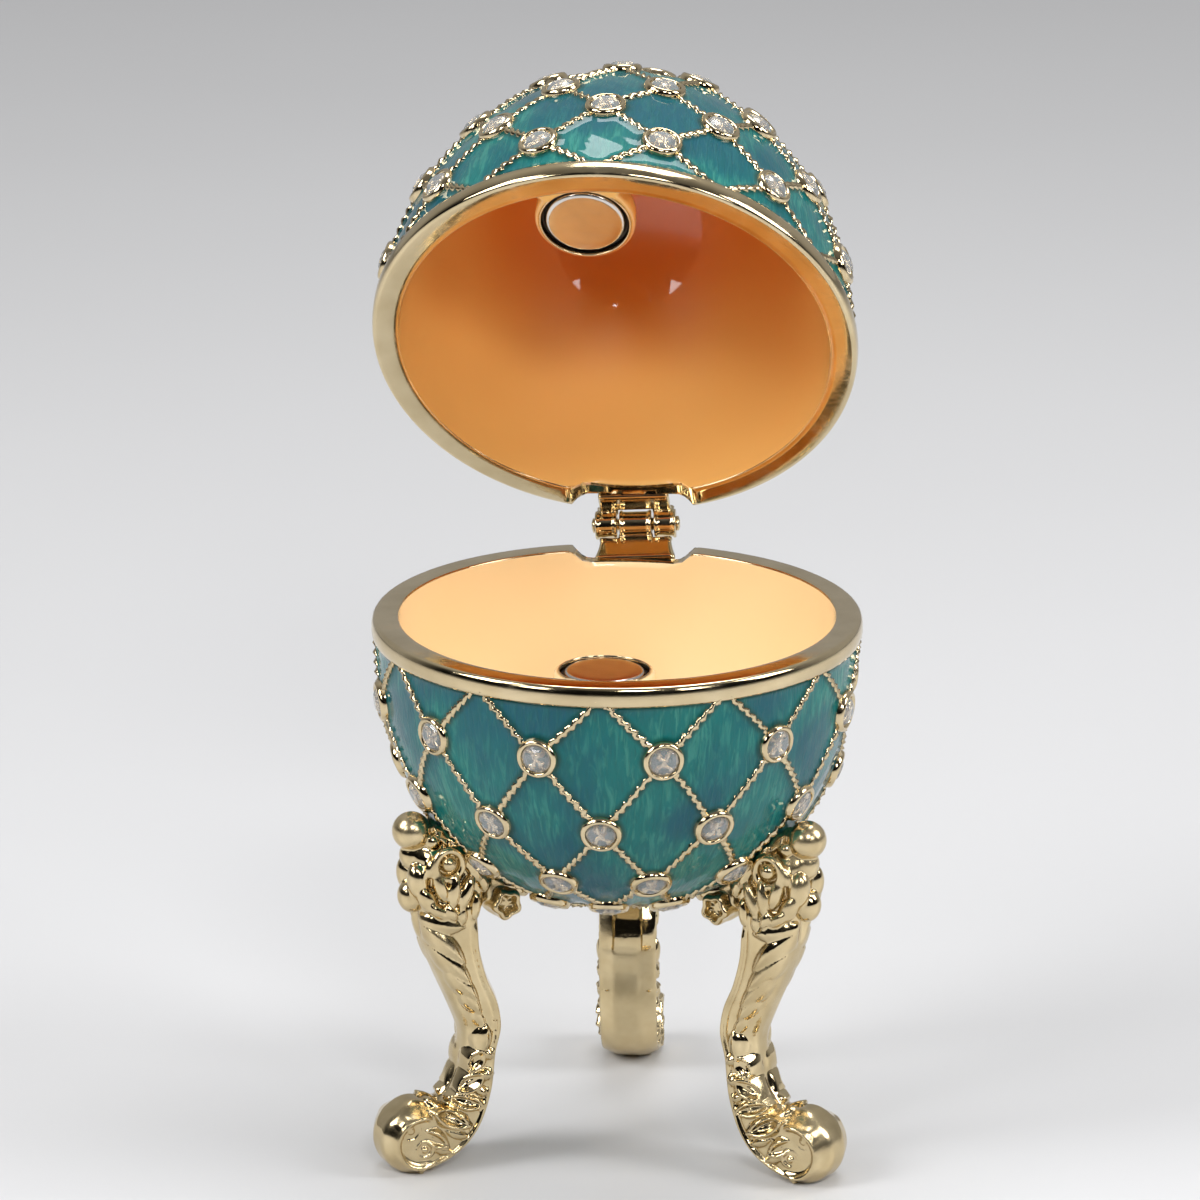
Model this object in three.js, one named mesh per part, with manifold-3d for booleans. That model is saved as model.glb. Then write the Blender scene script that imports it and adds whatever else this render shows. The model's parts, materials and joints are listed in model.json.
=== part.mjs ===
// Jewelled egg trinket box: a hinged, enamelled metal egg that stands open on three cast scroll legs.
// Millimetres, +Z up. The front is -Y and the hinge is at the back, +Y. Angles are turned from the front.
import * as THREE from 'three';
import { mergeVertices } from 'three/addons/utils/BufferGeometryUtils.js';
import Module from 'manifold-3d';

const wasm = await Module();
wasm.setup();

// Egg
const EGG_RADIUS = 21.5;
const RIM_HEIGHT = 48.3;
const RIM_GAP = 0.3;
const WALL = 2.4;
const OPEN_ANGLE = THREE.MathUtils.degToRad(59.5);
// A fullness of 2 gives an elliptic profile, and more gives a fuller shoulder.
// The crystals sit in rows at these arc lengths from the rim, and a round boss closes the pole.
const BOWL = {
  depth: 25.8, fullness: 2.4, rowArcs: [6.8, 14.2, 21.2, 27.6], poleRadius: 4.8, poleProud: 0.6,
};
const LID = {
  depth: 28.1, fullness: 1.95, rowArcs: [5.2, 10.4, 15.6, 23.2, 29.2], poleRadius: 3.2, poleProud: 0.9,
};

// Rim band, enamel and trellis
const BAND_HEIGHT = 1.8;
const ENAMEL_INSET = 0.5;
const COLUMNS = 12;
const HIDDEN_ROW_ARC = 1;
const ROPE_HALF_WIDTH = 0.42;
const ROPE_PROUD = 0.45;
const BEZEL_RADIUS = 1.8;
const BEZEL_CREST = 1.25;
const BEZEL_INNER = 0.4;
const BEZEL_PROUD = 0.8;

// Closure magnets, in blind bosses on the front wall
const MAGNET_RADIUS = 3.5;
const MAGNET_THICKNESS = 1.5;
const MAGNET_REACH = 15.1;
const MAGNET_DROP = 0.3;
const POCKET_CLEARANCE = 0.3;
const BOSS_RADIUS = 4.4;
const BOSS_HEIGHT = 2.6;
const BOSS_CONE = 4.5;
const LID_MAGNET_ANGLE = -5;

// Hinge. It is soldered a little out of level, so the lid leans to its left as it opens.
const HINGE_SKEW = THREE.MathUtils.degToRad(3);
const PIN_OFFSET = 2.25;
const PIN_RISE = 0.97;
const PIN_RADIUS = 0.55;
const KNUCKLE_RADIUS = 1.35;
const HINGE_WIDTH = 7.3;
const MIDDLE_KNUCKLE = 2.9;
const CLEARANCE = 0.3;
const LEAF_THICKNESS = 0.6;
const LEAF_HEIGHT = 3.4;
const NOTCH_WIDTH = 10.5;
const NOTCH_DEPTH = 1.3;
const NOTCH_HEIGHT = 4.4;

// Legs
const LEG_ANGLES = { leg_left: -60, leg_right: 60, leg_back: 180 };
const LEG_WIDTH = 5.2;
const LEG_BEVEL = 0.8;
const SCROLL_RADIUS = 3.1;
const SCROLL_REACH = 20.2;
const FOOT_FLAT_SINK = 0.12;
const SCROLL_HEIGHT = SCROLL_RADIUS - FOOT_FLAT_SINK;
const LEG_SEAT_OFFSET = BEZEL_PROUD - ENAMEL_INSET + CLEARANCE;

// Facets of the round parts
const INNER_SEGMENTS = 24;
const ROUND_SEGMENTS = 18;
const SCROLL_SEGMENTS = 16;

const COLOURS = { enamel: 0x1b7f80, gold: 0xd2b56c, nickel: 0xb9b4ad };

const circlePoint = (radius, angle, height) => {
  const turn = THREE.MathUtils.degToRad(angle);
  return [radius * Math.sin(turn), -radius * Math.cos(turn), height];
};

// Turns a closed geometry into a solid with its faces pointing out.
function solid(geometry) {
  const bare = geometry.clone();
  bare.deleteAttribute('normal');
  bare.deleteAttribute('uv');
  const merged = mergeVertices(bare);
  const index = merged.index.array;
  const triangles = [];
  for (let i = 0; i < index.length; i += 3) {
    const [a, b, c] = index.slice(i, i + 3);
    if (a !== b && b !== c && c !== a) triangles.push(a, b, c);
  }
  const vertProperties = new Float32Array(merged.attributes.position.array);
  const build = () => new wasm.Manifold(new wasm.Mesh({
    numProp: 3, vertProperties, triVerts: new Uint32Array(triangles),
  }));
  const first = build();
  if (first.volume() > 0) return first;
  triangles.reverse();
  return build();
}

const unite = (geometries) => geometries.map(solid).reduce((sum, next) => sum.add(next));

function geometryOf(manifold) {
  const { vertProperties, triVerts, numProp } = manifold.getMesh();
  const geometry = new THREE.BufferGeometry();
  const positions = new Float32Array(vertProperties.length / numProp * 3);
  for (let i = 0; i < positions.length; i++) {
    positions[i] = vertProperties[Math.floor(i / 3) * numProp + i % 3];
  }
  geometry.setAttribute('position', new THREE.BufferAttribute(positions, 3));
  geometry.setIndex([...triVerts]);
  geometry.computeVertexNormals();
  return geometry;
}

// A lathe body about the vertical axis, from [radius, height] points.
function turned(points, segments) {
  const profile = points.map(([radius, height]) => new THREE.Vector2(radius, height));
  return new THREE.LatheGeometry(profile, segments).rotateX(Math.PI / 2);
}

// Half of an egg's outline: from the rim, at the origin's height, down to the pole.
class EggProfile extends THREE.Curve {
  constructor(radius, depth, fullness) {
    super();
    Object.assign(this, { radius, depth, power: 2 / fullness });
  }

  getPoint(t) {
    const angle = t * Math.PI / 2;
    const across = this.radius * Math.cos(angle) ** this.power;
    return new THREE.Vector2(across, -this.depth * Math.sin(angle) ** this.power);
  }

  // The point at an arc length from the rim, moved out of the surface by an offset.
  at(arc, offset) {
    const share = arc / this.getLength();
    const point = this.getPointAt(share);
    const tangent = this.getTangentAt(share);
    return [point.x - tangent.y * offset, point.y + tangent.x * offset];
  }
}

// Rows are numbered from the crossings hidden under the rim band, row 0, towards the pole.
function rowNumber(arc, rowArcs) {
  const arcs = [HIDDEN_ROW_ARC, ...rowArcs];
  const last = arcs.length - 1;
  const row = Math.min(arcs.filter((start) => start <= arc).length, last);
  return row - 1 + (arc - arcs[row - 1]) / (arcs[row] - arcs[row - 1]);
}

const distanceToEven = (t) => Math.abs(t - 2 * Math.round(t / 2));

// One ring of the outer skin. Every rope has three points on it, foot, crest and foot, and where a ring
// runs through the bezels those points form the bezel instead.
function trellisRing(profile, arc, rowArcs) {
  const row = rowNumber(arc, rowArcs);
  const nearest = Math.round(row);
  const onBezel = Math.abs(arc - rowArcs[nearest - 1]) < BEZEL_CREST;
  const columnAngle = 360 / COLUMNS;
  const swing = columnAngle / 2 * distanceToEven(row);
  const degreesPerMm = THREE.MathUtils.radToDeg(1 / profile.at(arc, 0)[0]);
  const ring = [];
  for (let column = 0; column < COLUMNS; column++) {
    for (const side of [-1, 1]) {
      const even = nearest % 2 === 0;
      const crossing = column * columnAngle + (even ? 0 : side * columnAngle / 2);
      const away = even ? side : -side;
      for (const step of [-1, 0, 1]) {
        const bezelStep = [BEZEL_INNER, BEZEL_CREST, BEZEL_RADIUS][step * away + 1];
        const bezelAngle = crossing + away * bezelStep * degreesPerMm;
        const ropeAngle = column * columnAngle + side * swing + step * ROPE_HALF_WIDTH * degreesPerMm;
        const bezelProud = bezelStep < BEZEL_RADIUS ? BEZEL_PROUD : 0;
        const proud = onBezel ? bezelProud : (step === 0 ? ROPE_PROUD : 0);
        const [radius, height] = profile.at(arc, proud - ENAMEL_INSET);
        ring.push(circlePoint(radius, onBezel ? bezelAngle : ropeAngle, height));
      }
    }
  }
  return ring;
}

function plainRing(radius, height) {
  const count = COLUMNS * 6;
  const ring = [];
  for (let i = 0; i < count; i++) ring.push(circlePoint(radius, (i - 2.5) * 360 / count, height));
  return ring;
}

// A closed skin through rings of equal counts, with a point at each end.
function skin(first, rings, last) {
  const count = rings[0].length;
  const positions = [first, ...rings.flat(), last].flat();
  const end = positions.length / 3 - 1;
  const index = [];
  for (let i = 0; i < count; i++) {
    const next = (i + 1) % count;
    index.push(0, 1 + i, 1 + next);
    for (let ring = 0; ring < rings.length - 1; ring++) {
      const upper = 1 + ring * count;
      const lower = upper + count;
      index.push(upper + i, lower + i, upper + next);
      index.push(upper + next, lower + i, lower + next);
    }
    const lowest = 1 + (rings.length - 1) * count;
    index.push(end, lowest + next, lowest + i);
  }
  const geometry = new THREE.BufferGeometry();
  geometry.setAttribute('position', new THREE.Float32BufferAttribute(positions, 3));
  geometry.setIndex(index);
  return geometry;
}

// The outer form of half an egg, as a cup with its rim at height 0.
function outerForm({ depth, fullness, rowArcs, poleRadius, poleProud }) {
  const profile = new EggProfile(EGG_RADIUS, depth, fullness);
  const poleArc = profile.getLength() - poleRadius;
  const band = [
    plainRing(EGG_RADIUS, 0),
    plainRing(...profile.at(BAND_HEIGHT, 0)),
  ];
  const arcs = rowArcs.flatMap((arc) => [
    arc - BEZEL_RADIUS, arc - BEZEL_CREST * 0.9, arc + BEZEL_CREST * 0.9, arc + BEZEL_RADIUS,
  ]);
  const trellis = [BAND_HEIGHT + 0.1, ...arcs, poleArc].map((arc) => trellisRing(profile, arc, rowArcs));
  const poleRim = plainRing(...profile.at(poleArc, poleProud - ENAMEL_INSET));
  const poleTip = [0, 0, -depth - poleProud + ENAMEL_INSET];
  return solid(skin([0, 0, 0], [...band, ...trellis, poleRim], poleTip));
}

function innerForm({ depth, fullness }) {
  const profile = new EggProfile(EGG_RADIUS - WALL, depth - WALL, fullness);
  const wall = profile.getSpacedPoints(6).map(({ x, y }) => [x, y]);
  const points = [[0, 1], [EGG_RADIUS - WALL, 1], ...wall.slice(0, -1), [0, WALL - depth]];
  return solid(turned(points, INNER_SEGMENTS));
}

// The ledge that carries a magnet: a disc on a cone, on the inside of the front wall.
function magnetBoss(angle) {
  const disc = turned([
    [0, -MAGNET_DROP], [BOSS_RADIUS, -MAGNET_DROP],
    [BOSS_RADIUS, -BOSS_HEIGHT], [0, -BOSS_HEIGHT - BOSS_CONE],
  ], ROUND_SEGMENTS);
  return solid(disc.translate(...circlePoint(MAGNET_REACH, angle, 0)));
}

function magnetPocket(angle) {
  const radius = MAGNET_RADIUS + POCKET_CLEARANCE;
  const floor = -MAGNET_DROP - MAGNET_THICKNESS - POCKET_CLEARANCE;
  const pocket = turned([[0, 1], [radius, 1], [radius, floor], [0, floor]], ROUND_SEGMENTS);
  return solid(pocket.translate(...circlePoint(MAGNET_REACH, angle, 0)));
}

// Half an egg as a hollow cup, with its magnet boss in front and the hinge notch behind.
function eggHalf(half, magnetAngle) {
  const form = outerForm(half);
  const notch = new THREE.BoxGeometry(NOTCH_WIDTH, 2 * NOTCH_DEPTH, 2 * NOTCH_HEIGHT);
  return form.subtract(innerForm(half))
    .add(magnetBoss(magnetAngle).intersect(form))
    .subtract(magnetPocket(magnetAngle))
    .subtract(solid(notch.translate(0, EGG_RADIUS, 0)));
}

function magnet() {
  const rounding = 0.35;
  const rim = MAGNET_RADIUS - rounding;
  const disc = turned([
    [0, 0], [rim, 0], [MAGNET_RADIUS, -rounding], [MAGNET_RADIUS, -MAGNET_THICKNESS], [0, -MAGNET_THICKNESS],
  ], ROUND_SEGMENTS);
  return geometryOf(solid(disc));
}

// A slab with the given outline in the plane of Y and Z, centred on X. The outline's x is Y and its y is Z.
function slabAcrossX(shape, width, centre = 0) {
  const slab = new THREE.ExtrudeGeometry(shape, { depth: width, bevelEnabled: false, curveSegments: 6 });
  return slab.translate(0, 0, -width / 2).rotateY(Math.PI / 2).rotateX(Math.PI / 2).translate(centre, 0, 0);
}

// A hinge leaf about the pin's axis: a plate that lies in the notch, a neck and knuckles.
// Rise is the height of the pin over this leaf's rim, and down is -1 for the lower leaf, 1 for the upper.
function hingeLeaf(knuckles, rise, down) {
  const plateFace = -PIN_OFFSET - NOTCH_DEPTH + CLEARANCE;
  const plateOut = plateFace + LEAF_THICKNESS;
  const plateTop = -rise + down * CLEARANCE;
  const plateEnd = plateTop + down * LEAF_HEIGHT;
  const plate = new THREE.Shape();
  plate.moveTo(plateFace, plateTop).lineTo(plateOut, plateTop);
  plate.lineTo(plateOut, plateEnd).lineTo(plateFace, plateEnd);
  const neck = new THREE.Shape();
  const neckRoot = plateTop + down * LEAF_THICKNESS;
  const knuckleSide = down * KNUCKLE_RADIUS;
  neck.moveTo(plateFace, plateTop).lineTo(-KNUCKLE_RADIUS, knuckleSide * 0.1).lineTo(0, knuckleSide * 0.9);
  neck.lineTo(plateOut, neckRoot + down * LEAF_THICKNESS).lineTo(plateFace, neckRoot);
  const eye = new THREE.Shape();
  eye.absarc(0, 0, KNUCKLE_RADIUS, 0, 2 * Math.PI);
  const bore = new THREE.Shape();
  bore.absarc(0, 0, PIN_RADIUS + CLEARANCE, 0, 2 * Math.PI);
  const parts = [slabAcrossX(plate, HINGE_WIDTH)];
  for (const { centre, width } of knuckles) {
    parts.push(slabAcrossX(neck, width, centre), slabAcrossX(eye, width, centre));
  }
  return unite(parts).subtract(solid(slabAcrossX(bore, 2 * HINGE_WIDTH)));
}

function hingePin() {
  const end = HINGE_WIDTH / 2 + CLEARANCE;
  const tip = PIN_RADIUS / 2;
  const pin = turned([
    [0, -end], [tip, -end], [PIN_RADIUS, tip - end], [PIN_RADIUS, end - tip], [tip, end], [0, end],
  ], 12);
  return geometryOf(solid(pin.rotateY(Math.PI / 2)));
}

// The leg's outline seen from its side, x being the distance from the egg's axis.
function legOutline() {
  const front = [
    [20.2, 29.2], [18.9, 26.6], [18.65, 23.8], [18.25, 20.9], [17.2, 18.2],
    [15.7, 14.8], [14.75, 12.2], [14.8, 10], [15.5, 7.2], [17.2, 5],
  ];
  const back = [
    [17.6, 0.65], [15.6, 1.9], [14.1, 3.9], [13.1, 6.9], [12.7, 10.2],
    [12.15, 12.6], [12.5, 15], [13.5, 17.4], [14.2, 20.2], [14.3, 22.9],
  ];
  const bracket = [[13.5, 23.9], [12.6, 22.8], [11.3, 22.2], [10.2, 22.9], [10, 24.2]];
  const toVectors = (points) => points.map(([x, y]) => new THREE.Vector2(x, y));
  const shape = new THREE.Shape();
  shape.moveTo(17, 34);
  shape.lineTo(18.7, 33);
  shape.lineTo(20.2, 31.4);
  shape.splineThru(toVectors(front));
  shape.lineTo(SCROLL_REACH, SCROLL_HEIGHT);
  shape.lineTo(SCROLL_REACH - 0.5, 0.1);
  shape.splineThru(toVectors([...back, ...bracket]));
  shape.lineTo(10, 27);
  return shape;
}

function scroll() {
  const side = LEG_WIDTH / 2;
  const face = SCROLL_RADIUS - LEG_BEVEL;
  const edge = side - LEG_BEVEL;
  const roll = turned([
    [0, -side], [face, -side], [SCROLL_RADIUS, -edge], [SCROLL_RADIUS, edge], [face, side], [0, side],
  ], SCROLL_SEGMENTS);
  return roll.translate(SCROLL_REACH, SCROLL_HEIGHT, 0);
}

// A raised or sunk leaf on the side of the leg: a flat diamond with a ridge.
function leafBlade(length, width, height) {
  return new THREE.OctahedronGeometry(1).scale(length / 2, width / 2, height);
}

// Leaves on the lower leg fan out from its front edge, and slanted flutes are sunk into its upper part.
const LEAVES = {
  count: 3, from: [14.1, 9], to: [16.4, 3.1], slant: [1.5, 2.1], length: 2.7, width: 1.3, height: 0.45,
};
const FLUTES = {
  count: 3, from: [16.4, 21.6], to: [14.7, 16.2], slant: [0.5, 0.8], length: 2.8, width: 1.1, height: 0.45,
};

function bladesOnSides({ count, from, to, length, width, height, slant }) {
  const blades = [];
  for (let i = 0; i < count; i++) {
    const share = i / (count - 1);
    const x = THREE.MathUtils.lerp(from[0], to[0], share);
    const y = THREE.MathUtils.lerp(from[1], to[1], share);
    const angle = THREE.MathUtils.lerp(slant[0], slant[1], share);
    for (const side of [-1, 1]) {
      const blade = leafBlade(length, width, height).rotateZ(angle);
      blades.push(blade.translate(x, y, side * LEG_WIDTH / 2));
    }
  }
  return blades;
}

function beads() {
  const outerBead = new THREE.IcosahedronGeometry(1.5, 1).translate(19.9, 30.5, 0);
  const innerBead = new THREE.IcosahedronGeometry(1.35, 1).translate(11.3, 23.5, 0);
  const sideBeads = [-1, 1].flatMap((side) => [
    new THREE.IcosahedronGeometry(1.1, 0).translate(17.2, 28.6, side * LEG_WIDTH / 2),
    new THREE.IcosahedronGeometry(0.9, 0).translate(SCROLL_REACH, SCROLL_HEIGHT, side * LEG_WIDTH / 2),
  ]);
  return [outerBead, innerBead, ...sideBeads];
}

// The space under the bowl that the legs keep clear of: just outside its bezels.
function legSeat() {
  const profile = new EggProfile(EGG_RADIUS, BOWL.depth, BOWL.fullness);
  const steps = 8;
  const points = [];
  for (let i = 0; i < steps; i++) points.push(profile.at(i / steps * profile.getLength(), LEG_SEAT_OFFSET));
  const seat = turned([[0, 0], ...points, [0, -BOWL.depth - LEG_SEAT_OFFSET]], INNER_SEGMENTS);
  return solid(seat.translate(0, 0, RIM_HEIGHT));
}

// One leg in its own plane, standing out along +X.
function leg() {
  const body = new THREE.ExtrudeGeometry(legOutline(), {
    depth: LEG_WIDTH - 2 * LEG_BEVEL,
    bevelThickness: LEG_BEVEL,
    bevelSize: LEG_BEVEL,
    bevelOffset: -LEG_BEVEL,
    bevelSegments: 1,
    curveSegments: 1,
  });
  body.translate(0, 0, LEG_BEVEL - LEG_WIDTH / 2);
  const upright = (geometry) => geometry.rotateX(Math.PI / 2);
  const ground = new THREE.BoxGeometry(100, 100, 100).translate(0, 0, -50);
  return unite([body, scroll(), ...bladesOnSides(LEAVES), ...beads()].map(upright))
    .subtract(unite(bladesOnSides(FLUTES).map(upright)))
    .subtract(solid(ground))
    .subtract(legSeat());
}

function material(color, roughness, metalness) {
  return new THREE.MeshStandardMaterial({ color, roughness, metalness });
}

const enamel = material(COLOURS.enamel, 0.2, 0.1);
const gold = material(COLOURS.gold, 0.2, 1);
const nickel = material(COLOURS.nickel, 0.25, 1);

function piece(name, geometry, finish) {
  const mesh = new THREE.Mesh(geometry, finish);
  mesh.name = name;
  return mesh;
}

const model = new THREE.Group();

const bowl = piece('bowl', geometryOf(eggHalf(BOWL, 0)), enamel);
bowl.position.z = RIM_HEIGHT;
model.add(bowl);

const bowlMagnet = piece('bowl_magnet', magnet(), nickel);
bowlMagnet.position.set(...circlePoint(MAGNET_REACH, 0, RIM_HEIGHT - MAGNET_DROP));
model.add(bowlMagnet);

const legGeometry = geometryOf(leg());
for (const [name, angle] of Object.entries(LEG_ANGLES)) {
  const mesh = piece(name, legGeometry, gold);
  mesh.rotation.z = THREE.MathUtils.degToRad(angle - 90);
  model.add(mesh);
}

const middleKnuckle = [{ centre: 0, width: MIDDLE_KNUCKLE }];
const outerWidth = (HINGE_WIDTH - MIDDLE_KNUCKLE) / 2 - CLEARANCE;
const outerCentre = (HINGE_WIDTH - outerWidth) / 2;
const outerKnuckles = [-1, 1].map((side) => ({ centre: side * outerCentre, width: outerWidth }));

// Everything that turns is in nested groups about the middle of the pin.
const hinge = new THREE.Group();
hinge.position.set(0, EGG_RADIUS + PIN_OFFSET, RIM_HEIGHT + PIN_RISE);
hinge.rotation.y = -HINGE_SKEW;
hinge.add(piece('bowl_hinge_leaf', geometryOf(hingeLeaf(middleKnuckle, PIN_RISE, -1)), gold));
hinge.add(piece('hinge_pin', hingePin(), gold));
model.add(hinge);

const swing = new THREE.Group();
swing.rotation.x = -OPEN_ANGLE;
swing.add(piece('lid_hinge_leaf', geometryOf(hingeLeaf(outerKnuckles, PIN_RISE - RIM_GAP, 1)), gold));
hinge.add(swing);

const levelled = new THREE.Group();
levelled.rotation.y = HINGE_SKEW;
swing.add(levelled);

const lidRim = new THREE.Group();
lidRim.position.set(0, -EGG_RADIUS - PIN_OFFSET, RIM_GAP - PIN_RISE);
lidRim.rotation.y = Math.PI;
levelled.add(lidRim);

const lidMagnet = piece('lid_magnet', magnet(), nickel);
lidMagnet.position.set(...circlePoint(MAGNET_REACH, -LID_MAGNET_ANGLE, -MAGNET_DROP));
lidRim.add(piece('lid', geometryOf(eggHalf(LID, -LID_MAGNET_ANGLE)), enamel), lidMagnet);

// The origin is on the ground, under the middle of the open box.
const bounds = new THREE.Box3().setFromObject(model, true);
model.position.y = -(bounds.min.y + bounds.max.y) / 2;

export default model;
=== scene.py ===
"""A jewelled egg trinket box: the looks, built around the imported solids.

Lengths are millimetres until a mesh or a light is made, and angles are degrees turned from the front.
"""

import json
import math

import bmesh
import bpy
import numpy as np
from mathutils import Matrix, Vector


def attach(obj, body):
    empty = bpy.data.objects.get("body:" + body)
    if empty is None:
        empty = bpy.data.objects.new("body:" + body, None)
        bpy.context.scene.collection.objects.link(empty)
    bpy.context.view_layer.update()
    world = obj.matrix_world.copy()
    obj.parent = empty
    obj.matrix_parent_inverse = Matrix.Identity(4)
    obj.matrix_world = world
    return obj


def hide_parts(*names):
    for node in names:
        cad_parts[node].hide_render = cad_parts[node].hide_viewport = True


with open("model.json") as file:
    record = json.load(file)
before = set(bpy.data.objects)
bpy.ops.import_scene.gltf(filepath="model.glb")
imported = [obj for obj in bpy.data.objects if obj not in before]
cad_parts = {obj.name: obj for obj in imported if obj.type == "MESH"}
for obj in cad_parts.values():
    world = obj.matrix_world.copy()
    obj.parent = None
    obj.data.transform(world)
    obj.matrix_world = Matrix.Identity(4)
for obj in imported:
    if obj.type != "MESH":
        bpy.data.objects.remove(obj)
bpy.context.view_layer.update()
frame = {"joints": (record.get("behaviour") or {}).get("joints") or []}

MM = 0.001

# Egg
EGG_RADIUS = 21.5
RIM_HEIGHT = 48.3
RIM_GAP = 0.3
WALL = 2.4
COLUMNS = 12
COLUMN_ANGLE = 360 / COLUMNS
HIDDEN_ROW_ARC = 1.0
ENAMEL_INSET = 0.5
BAND_HEIGHT = 1.8

# Hinge and its notch in both rims
PIN_OFFSET = 2.25
HINGE_WIDTH = 7.3
MIDDLE_KNUCKLE = 2.9
KNUCKLE_RADIUS = 1.3
KNUCKLE_GAP = 0.22
LEAF_THICKNESS = 0.55
LEAF_TOP_WIDTH = 6.4
PIN_RADIUS = 0.55
NOTCH_WIDTH = 10.5
NOTCH_DEPTH = 1.3
NOTCH_HEIGHT = 4.4
NOTCH_FLOOR = EGG_RADIUS - NOTCH_DEPTH
NOTCH_EASE_OUT = 0.6
NOTCH_EASE_IN = 1.2
SEAT_DROP = 1.15

# Magnets and their bosses
MAGNET_RADIUS = 3.5
MAGNET_THICKNESS = 1.5
MAGNET_REACH = 15.1
MAGNET_DROP = 0.3
BOSS_RADIUS = 4.4
BOSS_HEIGHT = 2.6
BOSS_CONE = 4.5
BOSS_EDGE = 0.5
BOSS_FILLET = 1.6
BOSS_SPREAD = 7.2
BOSS_RIM_GAP = 0.18
BOSS_ROOT = 0.3
POCKET_GAP = 0.42

# Legs
LEG_ANGLES = {"leg_left": -60, "leg_right": 60, "leg_back": 180}
LEG_HALF_WIDTH = 2.6
SCROLL = (20.2, 2.98)
SCROLL_RADIUS = 3.1
LEG_NOSE = 0.6

# The hinge joint, and how the lid has swung open at rest
JOINT = frame["joints"][0]
PIN = np.array(JOINT["pos_m"]) / MM
PIN_AXIS = np.array(JOINT["axis"])
OPEN_ANGLE = -JOINT["range_deg"][0]
LID_SWING = np.array(Matrix.Rotation(math.radians(OPEN_ANGLE), 3, Vector(PIN_AXIS)))
EGG_AXIS_Y = PIN[1] - EGG_RADIUS - PIN_OFFSET


def fade(low, high, value):
    """Eased from 0 at the low value to 1 at the high one. Either may be the larger."""
    share = np.clip((value - low) / (high - low), 0, 1)
    return share * share * (3 - 2 * share)


def soft_min(a, b, blend):
    """The lower of two distances, rounded where they meet."""
    share = np.maximum(blend - np.abs(a - b), 0) / blend
    return np.minimum(a, b) - share * share * blend / 4


def soft_max(a, b, blend):
    return -soft_min(-a, -b, blend)


def ridge(value, middle, width):
    """A rounded ridge, 1 where the value is in the middle, and gone about two widths away."""
    return np.exp(-((value - middle) / width) ** 2)


def turned_to(points, angle):
    """Points about the upright axis, turned so that their -Y side faces the angle."""
    turn = math.radians(angle)
    x, y, z = np.moveaxis(np.asarray(points, float), -1, 0)
    return np.stack([
        x * math.cos(turn) - y * math.sin(turn),
        x * math.sin(turn) + y * math.cos(turn),
        z,
    ], -1)


def full_turn(count):
    """Angles in radians, evenly spaced around a circle."""
    return np.arange(count) / count * 2 * np.pi


def around_axis(radius, height, turn):
    """Points at a radius and a height, turned by radians from the front."""
    radius, height, turn = np.broadcast_arrays(radius, height, turn)
    return np.stack([radius * np.sin(turn), -radius * np.cos(turn), height], -1)


def off_column(angle, start):
    """The angle from the nearest of the places that repeat each column, counted from a start."""
    return (angle - start + COLUMN_ANGLE / 2) % COLUMN_ANGLE - COLUMN_ANGLE / 2


def row_start(row):
    """Odd rows of bezels stand half a column to the side."""
    return COLUMN_ANGLE / 2 if row % 2 else 0


class EggProfile:
    """Half an egg's outline, from the rim at height 0 down to the pole, by arc length."""

    SAMPLES = 4001

    def __init__(self, radius, depth, fullness):
        self.radius = radius
        self.depth = depth
        self.fullness = fullness
        share = np.linspace(0, np.pi, self.SAMPLES)
        angle = (1 - np.cos(share)) * np.pi / 4
        power = 2 / fullness
        self.r = radius * np.abs(np.cos(angle)) ** power
        self.z = -depth * np.sin(angle) ** power
        steps = np.hypot(np.diff(self.r), np.diff(self.z))
        self.arc = np.concatenate([[0], np.cumsum(steps)])
        self.length = self.arc[-1]
        down_r = np.gradient(self.r, self.arc)
        down_z = np.gradient(self.z, self.arc)
        size = np.hypot(down_r, down_z)
        self.normal_r = -down_z / size
        self.normal_z = down_r / size

    def normal(self, arc):
        return np.interp(arc, self.arc, self.normal_r), np.interp(arc, self.arc, self.normal_z)

    def at(self, arc, offset=0.0):
        """The radius and height at an arc length, moved out of the surface by an offset."""
        normal_r, normal_z = self.normal(arc)
        return (
            np.interp(arc, self.arc, self.r) + normal_r * offset,
            np.interp(arc, self.arc, self.z) + normal_z * offset,
        )

    def distance(self, r, z):
        """About how far a point is outside the outline, good near it."""
        across = np.maximum(r, 1e-3) / self.radius
        down = np.maximum(-z, 1e-3) / self.depth
        power = self.fullness
        level = across ** power + down ** power
        slope_r = power * across ** (power - 1) / self.radius
        slope_z = power * down ** (power - 1) / self.depth
        return (level - 1) / np.hypot(slope_r, slope_z)


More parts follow.
